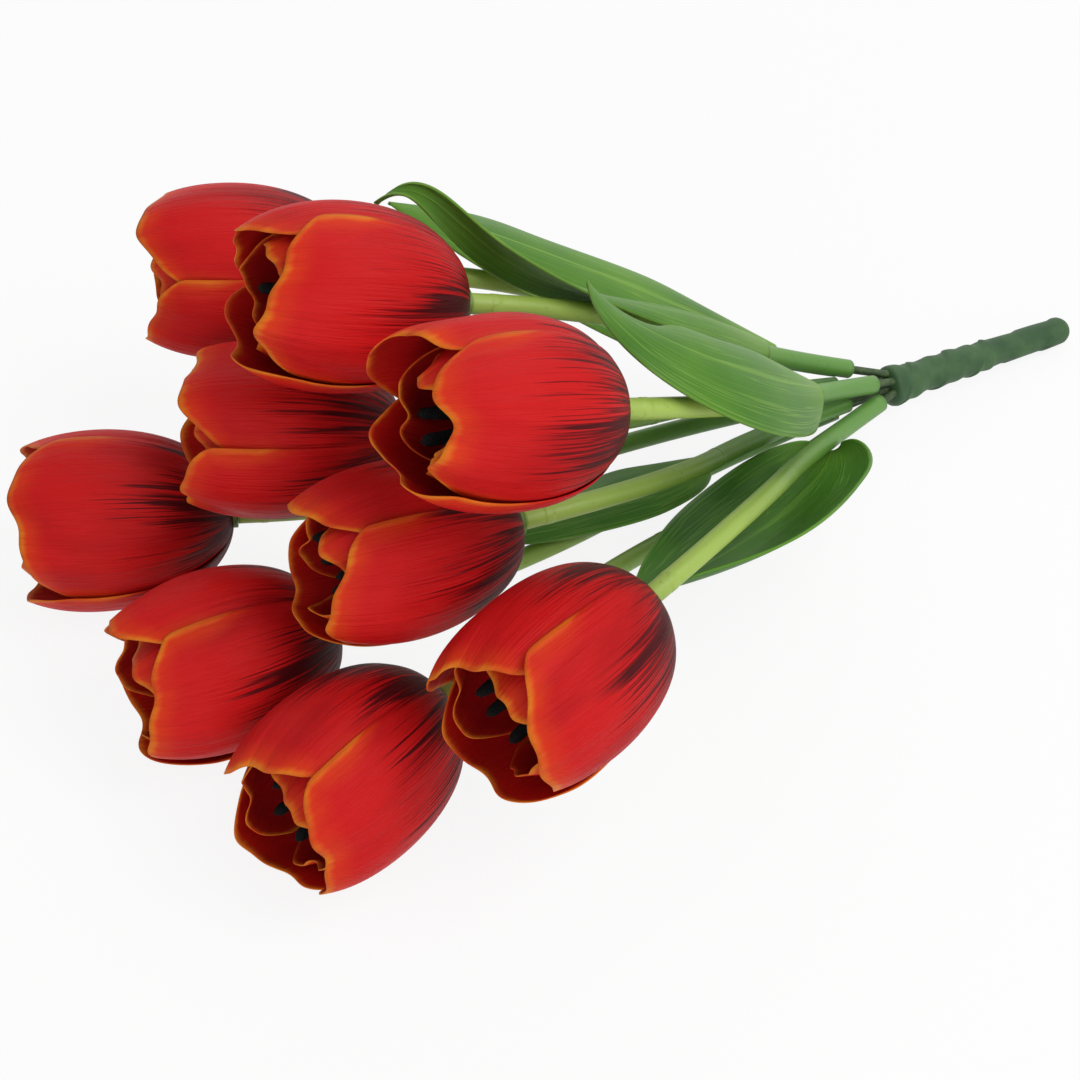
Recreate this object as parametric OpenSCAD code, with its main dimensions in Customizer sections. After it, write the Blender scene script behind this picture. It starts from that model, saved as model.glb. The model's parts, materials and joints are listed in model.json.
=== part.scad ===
// A bunch of nine artificial tulips lying on a table, flowers towards -X and handle towards +X.
// Each tulip is a fabric head on a wired stem, and all the stems are set in one moulded handle.

/* [Tulip heads] */
// Widest radius of the cup that the petals form
cup_r = 25.5; // [22:0.5:27]
// Length of the cup from its seat on the hub to the petal tips
cup_len = 62; // [56:1:68]
// Distance from the seat to the belly of the cup, where a head is placed
belly_h = 31; // [26:1:34]
// Fullness of the cup near its seat, as a share of its radius
cup_shoulder = 0.96; // [0.8:0.02:1]
// Fullness of the cup at its belly, as a share of its radius
cup_swell = 1.26; // [1.15:0.01:1.28]
// Thickness of a stiffened fabric petal
petal_t = 0.9; // [0.6:0.1:1.1]
// Clear space between the outer and the inner ring of petals
ring_gap = 1.1; // [0.9:0.1:1.5]
// Angle of the cup that one petal covers
petal_spread = 110; // [90:2:114]
// Angle at which the petals rise from their flat seat
seat_tilt = 8; // [5:1:12]
// Width of the flat seat that joins the three petals of a ring
seat_w = 2; // [1.5:0.1:2.4]
// Share of the cup's length by which a petal's corners stay below its tip
corner_drop = 0.26; // [0.2:0.02:0.4]

/* [Hubs and stamens] */
// Radius of the flange that the petals sit on
hub_flange_r = 4; // [3.6:0.1:5]
// Thickness of that flange
hub_flange_h = 1.2; // [0.8:0.1:2]
// Radius of the hub's neck, which passes through the petals
hub_neck_r = 2.6; // [2.2:0.1:2.8]
// Thickness of the button that holds the petals down
hub_button_h = 1.8; // [1.2:0.1:3]
// Clear space between the hub and the petals' seats
seat_gap = 0.3; // [0.2:0.05:0.4]
// Height of the stamens above the hub
stamen_h = 42; // [30:1:46]
// Distance of the stamens' tips from the flower's axis
stamen_spread = 8; // [6:0.5:10]
// Number of stamens round the pistil
stamen_count = 6; // [4:1:8]
// Radius of a stamen's thread
thread_r = 0.7; // [0.5:0.1:1]
// Radius of the anther at the end of a stamen
anther_r = 1.8; // [1.2:0.1:2.2]
// Length of that anther
anther_len = 11; // [7:0.5:14]

/* [Stems] */
// Radius of the coated core wire
wire_r = 1.2; // [0.9:0.05:1.2]
// Radius of the bead at the wire's root, which sits in the handle
bead_r = 1.3; // [1.25:0.01:1.35]
// Running clearance between the wire and the hub's bore, and round the bead in its seat
wire_clear = 0.05; // [0.02:0.01:0.1]
// Outer radius of the soft sleeve on the wire
sleeve_r = 2.9; // [2.5:0.1:3]
// Clear space between the wire and the bore of its sleeve
sleeve_gap = 0.3; // [0.2:0.1:0.5]
// Radius of the collars that join the lengths of a sleeve
collar_r = 3.2; // [3.1:0.05:3.3]
// Length of such a collar
collar_len = 2.4; // [1.6:0.2:4]
// Straight length of stem behind each head
neck_run = 9; // [7:0.5:14]
// Depth of the wire in the hub, measured from the petals' seat
peg_depth = 3.2; // [2:0.1:3.6]

/* [Handle] */
// Length of the handle from its round tip to its crown
handle_len = 76; // [72:1:90]
// Radius of the straight shank that goes into a holder
shank_r = 4.4; // [3.5:0.1:4.6]
// Length of that shank with its round tip
shank_len = 34; // [26:1:38]
// Radius of the crown that the wires are set in
crown_r = 6.6; // [6.4:0.1:7.5]
// Radius of the crown's domed end
dome_r = 12; // [11.5:0.1:13]
// Slope at which the handle leans down to its tip, in degrees
handle_slope = 7; // [5:0.5:10]

/* [Leaves] */
// Thickness of a leaf
leaf_t = 0.8; // [0.6:0.1:1]
// Clear space between a leaf's sheath and the sleeve that it wraps
sheath_gap = 0.5; // [0.3:0.1:0.8]
// Angle through which a blade is hollowed on each side of its middle
leaf_cup = 34; // [20:1:45]

/* [Hidden] */
$fn = 32;
COUNT = 9;
LEAF_NAMES = ["rear_leaf", "arched_leaf", "front_leaf", "low_leaf", "under_leaf"];

// One row for each tulip: belly of the cup from the crown, in cup lengths along X and in cup radii along
// Y, height in cup radii above a cup that lies on the table, heading of the head towards +Y, its pitch
// upwards, its mouth as a share of the cup's radius, roll of its petals, side and rise of its wire
// where it leaves the crown, and length of bare wire there
PLACE_X = 0;
PLACE_Y = 1;
PLACE_Z = 2;
HEADING = 3;
PITCH = 4;
MOUTH = 5;
ROLL = 6;
WIRE_SIDE = 7;
WIRE_RISE = 8;
BARE_WIRE = 9;
TULIPS = [
    [-2.77,  3.49, 1.80,  30,  2, 0.78,  60,  24, 16, 15],
    [-2.84,  0.59, 3.53,  15, 17, 0.90, 117,   8, 27, 16],
    [-2.68, -1.88, 3.65,   6, 20, 0.90, 118,  -9, 24, 10],
    [-3.10,  1.10, 1.57,  28,  4, 0.82,  57,  10, 12, 17],
    [-3.74,  2.35, 0.00,  28,  0, 0.82,  14,  20, -4, 15],
    [-3.73, -0.20, 0.00,   8,  0, 0.82, 103,   6, -5, 17],
    [-3.03, -1.22, 1.65,   8,  4, 0.82,  90,  -4,  9, 17],
    [-3.56, -2.24, 0.00, -16, -1, 0.82,  98,  -8, -6, 15],
    [-2.77, -3.25, 1.33, -15, -3, 0.86, 105, -18,  9,  8],
];
function tulip(k, column) = TULIPS[k - 1][column];

// One row for each leaf: its tulip, how far up the sleeve it starts, its side of the stem (0 is up,
// 90 towards +Y), its greatest width, its twist from base to tip, and the points that draw its
// middle line, measured along the stem, away from it and across it
STEM = 0;
START = 1;
SIDE = 2;
WIDTH = 3;
TWIST = 4;
LINE = 5;
LEAVES = [
    [1, 22, 5, 46, 0,
        [[0, 0, 0], [32, 4, 2], [66, 5, 5], [101, 9, 8], [132, 17, 6]]],
    [2, 40, 0, 16, -140,
        [[0, 0, 0], [38, 4, -4], [76, 11, -9], [110, 4, -12], [104, -10, 18], [125, 30, 28], [128, 4, 37]]],
    [3, 40, -35, 32, 0,
        [[0, 0, 0], [60, 8, -4], [95, 12, -2], [122, 12, 8], [112, -2, 26], [108, -6, 41]]],
    [9, 32, -160, 48, 0,
        [[0, 0, 0], [20, 6, 4], [62, 12, -6], [104, 8, -9], [122, 0, -10]]],
    [6, 50, 5, 26, 0,
        [[0, 0, 0], [25, 4, 0], [50, 6, 1], [76, 8, 3], [96, 6, 4]]],
];

function unit(v) = v / norm(v);

// Direction that heads towards -X, turned towards +Y by side and upwards by rise
function heading(side, rise) = [-cos(side) * cos(rise), sin(side) * cos(rise), sin(rise)];

// Point of a Bezier curve of any degree
function bezier(p, t) =
    len(p) == 1 ? p[0] : bezier([for (i = [0:len(p) - 2]) (1 - t) * p[i] + t * p[i + 1]], t);

// Direction of that curve
function bezier_slope(p, t) = unit(bezier([for (i = [0:len(p) - 2]) p[i + 1] - p[i]], t));

// Where each head stands, first from the crown and then in the part's frame
function head_axis(k) = heading(tulip(k, HEADING), tulip(k, PITCH));
function belly_place(k) =
    [tulip(k, PLACE_X) * cup_len, tulip(k, PLACE_Y) * cup_r, tulip(k, PLACE_Z) * cup_r];
function seat_place(k) = belly_place(k) - belly_h * head_axis(k);
function head_seat(k) = seat_place(k) + bunch_shift;

// Flat seats of the two petal rings round the hub's neck, and the petals' start within them
SEAT_LAP = 0.6;
seat_in = hub_neck_r + seat_gap;
seat_out = seat_in + seat_w;
petal_start = seat_out - SEAT_LAP;
inner_depth = petal_t + ring_gap;

// Outline of a cup as [radius, height] at share t of its length, moved inwards by depth
SWELL_H = 0.66;
function cup_curve(k) = [
    [petal_start, 0],
    [cup_shoulder * cup_r, (cup_shoulder * cup_r - petal_start) * tan(seat_tilt)],
    [cup_swell * cup_r, SWELL_H * cup_len],
    [tulip(k, MOUTH) * cup_r, cup_len]
];
function cup_at(k, t, depth) =
    let (slope = bezier_slope(cup_curve(k), t))
    bezier(cup_curve(k), t) - depth * [slope[1], -slope[0]];

// Farthest that the cup of tulip k reaches along one axis, in the direction of sign
REACH_STEP = 0.05;
function cup_reach(k, i, sign) =
    let (a = head_axis(k), s = seat_place(k))
    max([for (t = [0:REACH_STEP:1]) let (c = cup_at(k, t, 0))
        sign * (s[i] + c[1] * a[i]) + c[0] * sqrt(1 - a[i] * a[i])]);
function bunch_reach(i, sign) = max([for (k = [1:COUNT]) cup_reach(k, i, sign)]);

// The bunch stands on its lowest cups and is centred over the origin
handle_dir = [cos(handle_slope), 0, -sin(handle_slope)];
tip_x = (handle_len - shank_r) * handle_dir[0] + shank_r;
bunch_shift = [
    (bunch_reach(0, -1) - tip_x) / 2,
    (bunch_reach(1, -1) - bunch_reach(1, 1)) / 2,
    bunch_reach(2, -1)
];
crown = [bunch_shift[0], bunch_shift[1], shank_r + (handle_len - shank_r) * sin(handle_slope)];
fan_centre = crown + dome_r * handle_dir;

// Route of a stem: straight from the crown, two tangent arcs, then straight into the hub
ROOT_LIFT = 0.2;
function wire_dir(k) = heading(tulip(k, WIRE_SIDE), tulip(k, WIRE_RISE));
function wire_root(k) = fan_centre + (dome_r + ROOT_LIFT) * wire_dir(k);
function sleeve_start(k) = wire_root(k) + tulip(k, BARE_WIRE) * wire_dir(k);
function neck_start(k) = head_seat(k) - neck_run * head_axis(k);
function corner_reach(k) =
    let (v = neck_start(k) - sleeve_start(k), d = wire_dir(k) + head_axis(k))
    let (a = 2 - 2 * wire_dir(k) * head_axis(k))
    (sqrt((v * d) * (v * d) + a * (v * v)) - v * d) / a;
function first_corner(k) = sleeve_start(k) + corner_reach(k) * wire_dir(k);
function last_corner(k) = neck_start(k) - corner_reach(k) * head_axis(k);
function mid_stem(k) = (first_corner(k) + last_corner(k)) / 2;

// Circular arc from a to c that is tangent to the lines a-q and q-c:
// [radius, angle, centre, direction to its start, its direction there, its normal]
function arc_of(a, q, c) =
    let (u = unit(q - a), w = unit(c - q), n = unit(cross(u, w)))
    let (turn = atan2(norm(cross(u, w)), u * w), r = norm(q - a) / tan(turn / 2))
    [r, turn, a + r * cross(n, u), -cross(n, u), u, n];
function first_arc(k) = arc_of(sleeve_start(k), first_corner(k), mid_stem(k));
function last_arc(k) = arc_of(mid_stem(k), last_corner(k), neck_start(k));
function arc_len(arc) = arc[0] * arc[1] * PI / 180;

// Point and direction of a stem at a distance from the start of its sleeve
function arc_point(arc, angle) = arc[2] + arc[0] * (cos(angle) * arc[3] + sin(angle) * arc[4]);
function arc_slope(arc, angle) = cos(angle) * arc[4] - sin(angle) * arc[3];
function stem_arc(k, s) = s < arc_len(first_arc(k)) ? first_arc(k) : last_arc(k);
function stem_angle(k, s) =
    let (l = arc_len(first_arc(k)))
    (s < l ? s : s - l) / stem_arc(k, s)[0] * 180 / PI;
function stem_point(k, s) = arc_point(stem_arc(k, s), stem_angle(k, s));
function stem_slope(k, s) = arc_slope(stem_arc(k, s), stem_angle(k, s));

// Point at a distance along a stem, which goes straight on past its neck
function stem_line(k, s) =
    let (l = arc_len(first_arc(k)) + arc_len(last_arc(k)))
    s <= l ? stem_point(k, s) : neck_start(k) + (s - l) * head_axis(k);

// Turns the drawing's Z to a direction and moves it to a point
module stand_at(p, dir) {
    translate(p) rotate([0, acos(dir[2]), atan2(dir[1], dir[0])]) children();
}

module at_head(k) {
    stand_at(head_seat(k), head_axis(k)) children();
}

// Sweeps a section along a straight line
module straight(a, b) {
    stand_at(a, unit(b - a)) linear_extrude(norm(b - a)) children();
}

// Sweeps a section along an arc, whose start and end are trimmed by the given lengths
module bend(arc, start_trim, end_trim) {
    x = arc[3];
    y = arc[4];
    z = arc[5];
    c = arc[2];
    degree = arc[0] * PI / 180;
    multmatrix([
        [x[0], y[0], z[0], c[0]],
        [x[1], y[1], z[1], c[1]],
        [x[2], y[2], z[2], c[2]],
        [0, 0, 0, 1]
    ])
    rotate(start_trim / degree)
    rotate_extrude(angle = arc[1] - (start_trim + end_trim) / degree, $fn = 64)
    translate([arc[0], 0]) children();
}

// Sweeps a section along the bends of a stem and its straight end behind the head.
// The lengths stop short of each other, and what joins them is drawn apart.
JOINT_TRIM = 0.15;
module stem_run(k, start_trim, after) {
    bend(first_arc(k), start_trim, JOINT_TRIM) children();
    bend(last_arc(k), JOINT_TRIM, JOINT_TRIM) children();
    straight(neck_start(k) + JOINT_TRIM * head_axis(k), neck_start(k) + after * head_axis(k)) children();
}

// Closed sheet between two lists of points, made of four-cornered cells, with the loops round its edges
module sheet(front, back, cells, rims) {
    n = len(front);
    polyhedron(
        points = concat(front, back),
        faces = concat(
            [for (c = cells) each [[c[0], c[1], c[2]], [c[0], c[2], c[3]]]],
            [for (c = cells) each [[n + c[0], n + c[2], n + c[1]], [n + c[0], n + c[3], n + c[2]]]],
            [for (rim = rims) for (i = [0:len(rim) - 1]) let (a = rim[i], b = rim[(i + 1) % len(rim)])
                each [[a, n + a, n + b], [a, n + b, b]]]
        )
    );
}

// Three petals cut in one piece and joined by the flat seat at their middle, moved inwards by depth.
// Row 0 is the seat's hole, row 1 its edge, and the rows above belong to one petal or another.
PETAL_ROWS = 7;
PETAL_COLS = 6;
PETAL_TOP = PETAL_ROWS + 1;
CORNER_POWER = 3;
AROUND = 3 * (PETAL_COLS + 1);
function ring_at(i, j) = i * AROUND + j % AROUND;
function ring_cell(i, j) = [ring_at(i, j), ring_at(i, j + 1), ring_at(i + 1, j + 1), ring_at(i + 1, j)];
function petal_edge(first) = let (last = first + PETAL_COLS) concat(
    [for (i = [1:PETAL_TOP]) ring_at(i, last)],
    [for (j = [last - 1:-1:first]) ring_at(PETAL_TOP, j)],
    [for (i = [PETAL_TOP - 1:-1:1]) ring_at(i, first)]
);
module petal_ring(k, depth, turn) {
    firsts = [for (i = [0:2]) i * (PETAL_COLS + 1)];
    columns = [for (i = [0:2]) for (j = [0:PETAL_COLS]) let (v = 2 * j / PETAL_COLS - 1)
        [v, tulip(k, ROLL) + turn + 120 * i + v * petal_spread / 2]];
    function around(r, z, angle) = [r * cos(angle), r * sin(angle), z];
    function layer(d) = concat(
        [for (c = columns) around(seat_in, d, c[1])],
        [for (i = [0:PETAL_ROWS]) for (c = columns)
            let (p = cup_at(k, i / PETAL_ROWS * (1 - corner_drop * pow(abs(c[0]), CORNER_POWER)), d))
            around(p[0], p[1], c[1])]
    );
    cells = concat(
        [for (j = [0:AROUND - 1]) ring_cell(0, j)],
        [for (i = [1:PETAL_ROWS]) for (f = firsts) for (j = [0:PETAL_COLS - 1]) ring_cell(i, f + j)]
    );
    rims = [
        [for (j = [0:AROUND - 1]) ring_at(0, j)],
        [for (i = [2:-1:0]) each petal_edge(firsts[i])]
    ];
    at_head(k) sheet(layer(depth), layer(depth + petal_t), cells, rims);
}

module outer_petals(k) {
    color("firebrick") petal_ring(k, 0, 0);
}

module inner_petals(k) {
    color("darkred") petal_ring(k, inner_depth, 60);
}

// Rivet-shaped hub: flange under the petals, neck through them and button above them
flange_z = -seat_gap / 2 - hub_flange_h;
button_z = inner_depth + petal_t + seat_gap;
button_r = petal_start;
hub_top = button_z + hub_button_h;
module flower_hub(k) {
    bore_depth = peg_depth + wire_clear - flange_z;
    color("olivedrab") at_head(k) translate([0, 0, flange_z]) difference() {
        union() {
            cylinder(r = hub_flange_r, h = hub_flange_h);
            cylinder(r = hub_neck_r, h = hub_top - flange_z);
            translate([0, 0, button_z - flange_z]) cylinder(r = button_r, h = hub_button_h);
        }
        translate([0, 0, -1]) cylinder(r = wire_r + wire_clear, h = bore_depth + 1);
    }
}

// Pistil and stamens on a common foot
FOOT_H = 1.2;
PISTIL_SHARE = 0.6;
module stamens(k) {
    foot_r = button_r / 2;
    lean = atan2(stamen_spread - foot_r, stamen_h);
    reach = stamen_h / cos(lean);
    color("black") at_head(k) translate([0, 0, hub_top]) {
        cylinder(r = button_r, h = FOOT_H);
        cylinder(r = 2 * thread_r, h = stamen_h * PISTIL_SHARE);
        for (i = [0:stamen_count - 1]) rotate(360 * i / stamen_count)
            translate([foot_r, 0, FOOT_H / 2]) rotate([0, lean, 0]) {
                cylinder(r = thread_r, h = reach - anther_len / 2);
                translate([0, 0, reach - anther_len]) anther();
            }
    }
}

// Rod with round ends
module anther() {
    body = anther_len - 2 * anther_r;
    translate([0, 0, anther_r]) rotate_extrude() intersection() {
        union() {
            circle(r = anther_r);
            translate([0, body]) circle(r = anther_r);
            square([anther_r, body]);
        }
        translate([0, -anther_r]) square([anther_r, anther_len]);
    }
}

// Coated wire with a bead at its root, joined by slim ferrules where its bends meet
FERRULE_SWELL = 1.1;
FERRULE_LEN = 2;
module stem_wire(k) {
    color("darkolivegreen") union() {
        translate(wire_root(k)) sphere(r = bead_r);
        straight(wire_root(k), sleeve_start(k) - JOINT_TRIM * wire_dir(k)) circle(r = wire_r);
        stem_run(k, JOINT_TRIM, neck_run + peg_depth) circle(r = wire_r);
        ferrule(sleeve_start(k), wire_dir(k));
        ferrule(mid_stem(k), stem_slope(k, arc_len(first_arc(k))));
        ferrule(neck_start(k), head_axis(k));
    }
}

module ferrule(p, dir) {
    half = FERRULE_LEN / 2 * dir;
    straight(p - half, p + half) circle(r = FERRULE_SWELL * wire_r);
}

// Soft tube over the wire, ending just behind the hub's flange
sleeve_bore = wire_r + sleeve_gap;
module stem_sleeve(k) {
    color("yellowgreen") union() {
        stem_run(k, 0, neck_run + flange_z - seat_gap) ring(sleeve_r, sleeve_bore);
        collar(mid_stem(k), stem_slope(k, arc_len(first_arc(k))));
        collar(neck_start(k), head_axis(k));
    }
}

// Collar bonded into the middle of the sleeve's wall
module collar(p, dir) {
    half = collar_len / 2 * dir;
    straight(p - half, p + half) ring(collar_r, (sleeve_r + sleeve_bore) / 2);
}

module ring(outer, inner) {
    difference() {
        circle(r = outer);
        circle(r = inner);
    }
}

// Moulded handle: round tip, straight shank, lumpy grip, domed crown with a seat for each wire
LUMPS = [[0.6, 0.05], [0.8, 0.2], [0.3, 0.3], [1, 0.4], [1.1, 0.6], [0.6, 0.7], [1.4, 0.85]];
module handle() {
    dome_base = handle_len - dome_r + sqrt(dome_r * dome_r - crown_r * crown_r);
    grip_len = dome_base - shank_len;
    grip = concat(
        [[0, shank_r], [shank_r, shank_r], [shank_r, shank_len]],
        [for (lump = LUMPS) [shank_r + lump[0], shank_len + lump[1] * grip_len]],
        [[crown_r, dome_base], [0, dome_base]]
    );
    color("darkslategray") difference() {
        stand_at(crown + handle_len * handle_dir, -handle_dir) rotate_extrude() union() {
            polygon(grip);
            intersection() {
                translate([0, shank_r]) circle(r = shank_r);
                square([shank_r, shank_r]);
            }
            intersection() {
                translate([0, handle_len - dome_r]) circle(r = dome_r);
                translate([0, dome_base]) square([crown_r, handle_len - dome_base]);
            }
        }
        for (k = [1:COUNT]) translate(wire_root(k)) sphere(r = bead_r + wire_clear);
    }
}

// Leaf whose sheath wraps half round a sleeve and whose blade opens away from the stem
LEAF_ROWS = 14;
LEAF_COLS = 4;
SHEATH_ANGLE = 85;
TIP_HALF_W = 1;
sheath_r = sleeve_r + sheath_gap + leaf_t;
function leaf_half_w(row, s) =
    sheath_r * SHEATH_ANGLE * PI / 180 * pow(1 - s, 4)
    + row[WIDTH] / 2 * pow(sin(180 * pow(s, 0.8)), 0.9)
    + TIP_HALF_W * s;
function leaf_half_angle(s) = leaf_cup + (SHEATH_ANGLE - leaf_cup) * pow(1 - s, 8);
function leaf_out(row) =
    let (d = stem_slope(row[STEM], row[START]), up = unit([0, 0, 1] - d[2] * d))
    cos(row[SIDE]) * up + sin(row[SIDE]) * cross(d, up);
function leaf_base(row) = stem_point(row[STEM], row[START]) + sheath_r * leaf_out(row);
function leaf_spine(row) =
    let (d = stem_slope(row[STEM], row[START]), out = leaf_out(row), side = cross(d, out))
    [for (p = row[LINE])
        stem_line(row[STEM], row[START] + p[0]) + (sheath_r + p[1]) * out + p[2] * side];

function leaf_at(i, j) = i * (LEAF_COLS + 1) + j;
module leaf(row) {
    spine = leaf_spine(row);
    function layer(depth) = [for (i = [0:LEAF_ROWS]) let (s = i / LEAF_ROWS)
        let (p = bezier(spine, s), d = bezier_slope(spine, s), twist = row[TWIST] * s * s)
        let (side = unit(cross(d, leaf_out(row))), out = cross(side, d))
        let (b = cos(twist) * side + sin(twist) * out, n = cos(twist) * out - sin(twist) * side)
        let (half = leaf_half_angle(s), r = leaf_half_w(row, s) * 180 / PI / half)
        for (j = [0:LEAF_COLS]) let (angle = half * (2 * j / LEAF_COLS - 1))
            p - r * n + (r - depth) * (cos(angle) * n + sin(angle) * b)];
    cells = [for (i = [0:LEAF_ROWS - 1]) for (j = [0:LEAF_COLS - 1])
        [leaf_at(i, j), leaf_at(i, j + 1), leaf_at(i + 1, j + 1), leaf_at(i + 1, j)]];
    rim = concat(
        [for (j = [0:LEAF_COLS]) leaf_at(0, j)],
        [for (i = [1:LEAF_ROWS]) leaf_at(i, LEAF_COLS)],
        [for (j = [LEAF_COLS - 1:-1:0]) leaf_at(LEAF_ROWS, j)],
        [for (i = [LEAF_ROWS - 1:-1:1]) leaf_at(i, 0)]
    );
    color("forestgreen") sheet(layer(leaf_t), layer(0), cells, [rim]);
}

handle();
for (k = [1:COUNT]) {
    stem_wire(k);
    stem_sleeve(k);
    flower_hub(k);
    outer_petals(k);
    inner_petals(k);
    stamens(k);
}
for (i = [0:len(LEAVES) - 1]) leaf(LEAVES[i]);
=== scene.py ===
import json
import math
import random

import bmesh
import bpy
from mathutils import Matrix, Vector, noise


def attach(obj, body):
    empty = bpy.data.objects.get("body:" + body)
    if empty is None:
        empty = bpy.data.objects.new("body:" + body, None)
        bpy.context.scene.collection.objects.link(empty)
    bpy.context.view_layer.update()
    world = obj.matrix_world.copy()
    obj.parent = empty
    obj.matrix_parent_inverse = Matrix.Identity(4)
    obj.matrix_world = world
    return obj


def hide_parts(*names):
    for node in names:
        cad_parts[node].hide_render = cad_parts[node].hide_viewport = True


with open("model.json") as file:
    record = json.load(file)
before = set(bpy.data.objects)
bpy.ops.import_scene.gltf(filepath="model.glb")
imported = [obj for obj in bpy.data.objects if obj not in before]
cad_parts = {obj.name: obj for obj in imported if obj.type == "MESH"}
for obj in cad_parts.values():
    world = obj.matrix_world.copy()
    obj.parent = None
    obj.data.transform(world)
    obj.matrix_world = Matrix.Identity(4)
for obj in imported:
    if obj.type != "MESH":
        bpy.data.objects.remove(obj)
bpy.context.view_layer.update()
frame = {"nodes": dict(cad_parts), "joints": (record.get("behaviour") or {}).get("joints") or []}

# Table, light and camera. The bunch lies on a plain white table under soft light from large panels,
# and the camera looks down on it at 45 degrees, with the handle to its right.
MM = 0.001
CROWN = Vector((96.8, -4.5, 13.1)) * MM
CAMERA_AZIMUTH = -32
CAMERA_ELEVATION = 45
CAMERA_DISTANCE = 0.8
CAMERA_LENS = 85
SENSOR = 36
PHOTO_SIDE = 1080
CROWN_PIXEL = (885, 388)

scene = bpy.context.scene
scene.view_settings.view_transform = "Standard"

camera = bpy.data.objects.new("camera", bpy.data.cameras.new("camera"))
scene.collection.objects.link(camera)
scene.camera = camera
camera.data.lens = CAMERA_LENS
camera.data.sensor_width = SENSOR
camera_turn = (
    Matrix.Rotation(math.radians(CAMERA_AZIMUTH), 4, "Z")
    @ Matrix.Rotation(math.radians(90 - CAMERA_ELEVATION), 4, "X")
)
pixel = SENSOR / CAMERA_LENS / PHOTO_SIDE
crown_in_view = Vector((
    (CROWN_PIXEL[0] - PHOTO_SIDE / 2) * pixel,
    (PHOTO_SIDE / 2 - CROWN_PIXEL[1]) * pixel,
    -1,
)) * CAMERA_DISTANCE
camera.matrix_world = Matrix.Translation(CROWN - camera_turn @ crown_in_view) @ camera_turn


class Dye:
    """A socket among a material's nodes. Sums of such sockets add Math nodes."""

    def __init__(self, tree, socket=None):
        self.tree = tree
        self.socket = socket

    def node(self, kind, settings=None, sockets=None, output=0):
        made = self.tree.nodes.new("ShaderNode" + kind)
        for name, value in (settings or {}).items():
            setattr(made, name, value)
        for name, value in (sockets or {}).items():
            self.feed(made.inputs[name], value)
        return Dye(self.tree, made.outputs[output])

    def feed(self, socket, value):
        if isinstance(value, Dye):
            self.tree.links.new(value.socket, socket)
        else:
            socket.default_value = value

    def maths(self, operation, first, second):
        return self.node("Math", {"operation": operation}, {0: first, 1: second})

    def __add__(self, other):
        return self.maths("ADD", self, other)

    def __sub__(self, other):
        return self.maths("SUBTRACT", self, other)

    def __rsub__(self, other):
        return self.maths("SUBTRACT", other, self)

    def __mul__(self, other):
        return self.maths("MULTIPLY", self, other)

    def __abs__(self):
        return self.maths("ABSOLUTE", self, 0)

    __radd__ = __add__
    __rmul__ = __mul__


def colour(red, green, blue):
    return (red, green, blue, 1)


def new_material(name):
    material = bpy.data.materials.new(name)
    material.use_nodes = True
    return material, Dye(material.node_tree)


def set_shader(material, sockets):
    shader = material.node_tree.nodes["Principled BSDF"]
    for name, value in sockets.items():
        Dye(material.node_tree).feed(shader.inputs[name], value)


def straight_rays(dye):
    """1 for rays that show a surface itself, and 0 for those that carry its light to others."""
    seen = dye.node("LightPath", output="Is Camera Ray")
    for kind in ("Is Glossy Ray", "Is Transmission Ray"):
        seen = dye.maths("MAXIMUM", seen, dye.node("LightPath", output=kind))
    return seen


TABLE_SIDE = 6
TABLE_GLOW = 0.88
table_mesh = bmesh.new()
bmesh.ops.create_grid(table_mesh, x_segments=1, y_segments=1, size=TABLE_SIDE / 2)
table_data = bpy.data.meshes.new("table")
table_mesh.to_mesh(table_data)
table_mesh.free()
table = bpy.data.objects.new("table", table_data)
scene.collection.objects.link(table)
table_white, dye = new_material("table_white")
table_data.materials.append(table_white)
set_shader(table_white, {"Base Color": colour(0.9, 0.9, 0.9), "Roughness": 0.8})
seen = straight_rays(dye)
white_glow = dye.node("Emission", {}, {"Color": colour(1, 1, 1), "Strength": 1})
lit_white = Dye(dye.tree, table_white.node_tree.nodes["Principled BSDF"].outputs[0])
table_shade = dye.node("MixShader", {}, {0: seen * TABLE_GLOW, 1: lit_white, 2: white_glow})
dye.feed(table_white.node_tree.nodes["Material Output"].inputs["Surface"], table_shade)

WORLD_LIGHT = 0.4
world = bpy.data.worlds.new("studio")
scene.world = world
world.use_nodes = True
sky = Dye(world.node_tree)
sky_seen = straight_rays(sky)
backdrop = world.node_tree.nodes["Background"]
backdrop.inputs["Color"].default_value = colour(1, 1, 1)
sky.feed(backdrop.inputs["Strength"], WORLD_LIGHT + sky_seen * (1 - WORLD_LIGHT))

# Place, side and power of each panel
PANELS = {
    "key_panel": ((0.4, -0.7, 1.2), 0.9, 10),
    "rim_panel": ((0.7, 0.9, 1.0), 0.8, 4),
    "front_panel": ((-0.9, -1.0, 0.5), 0.8, 4),
}
for name, (place, side, power) in PANELS.items():
    lamp = bpy.data.lights.new(name, "AREA")
    lamp.size = side
    lamp.energy = power
    panel = bpy.data.objects.new(name, lamp)
    scene.collection.objects.link(panel)
    panel.location = place
    panel.rotation_euler = (-Vector(place)).to_track_quat("-Z", "Y").to_euler()

# Handle: one moulded rod of dark green plastic, about 76 mm long and 9 mm thick. Its shank is plain
# with a round tip, its grip is lumpy with the marks of a spiral wrap, and the wires of all the
# stems are set in its domed crown.
HANDLE_SLOPE = math.radians(7)
HANDLE_LENGTH = 76 * MM
HANDLE_SIDES = 40
OUTLINE_STEPS = 5
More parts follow.
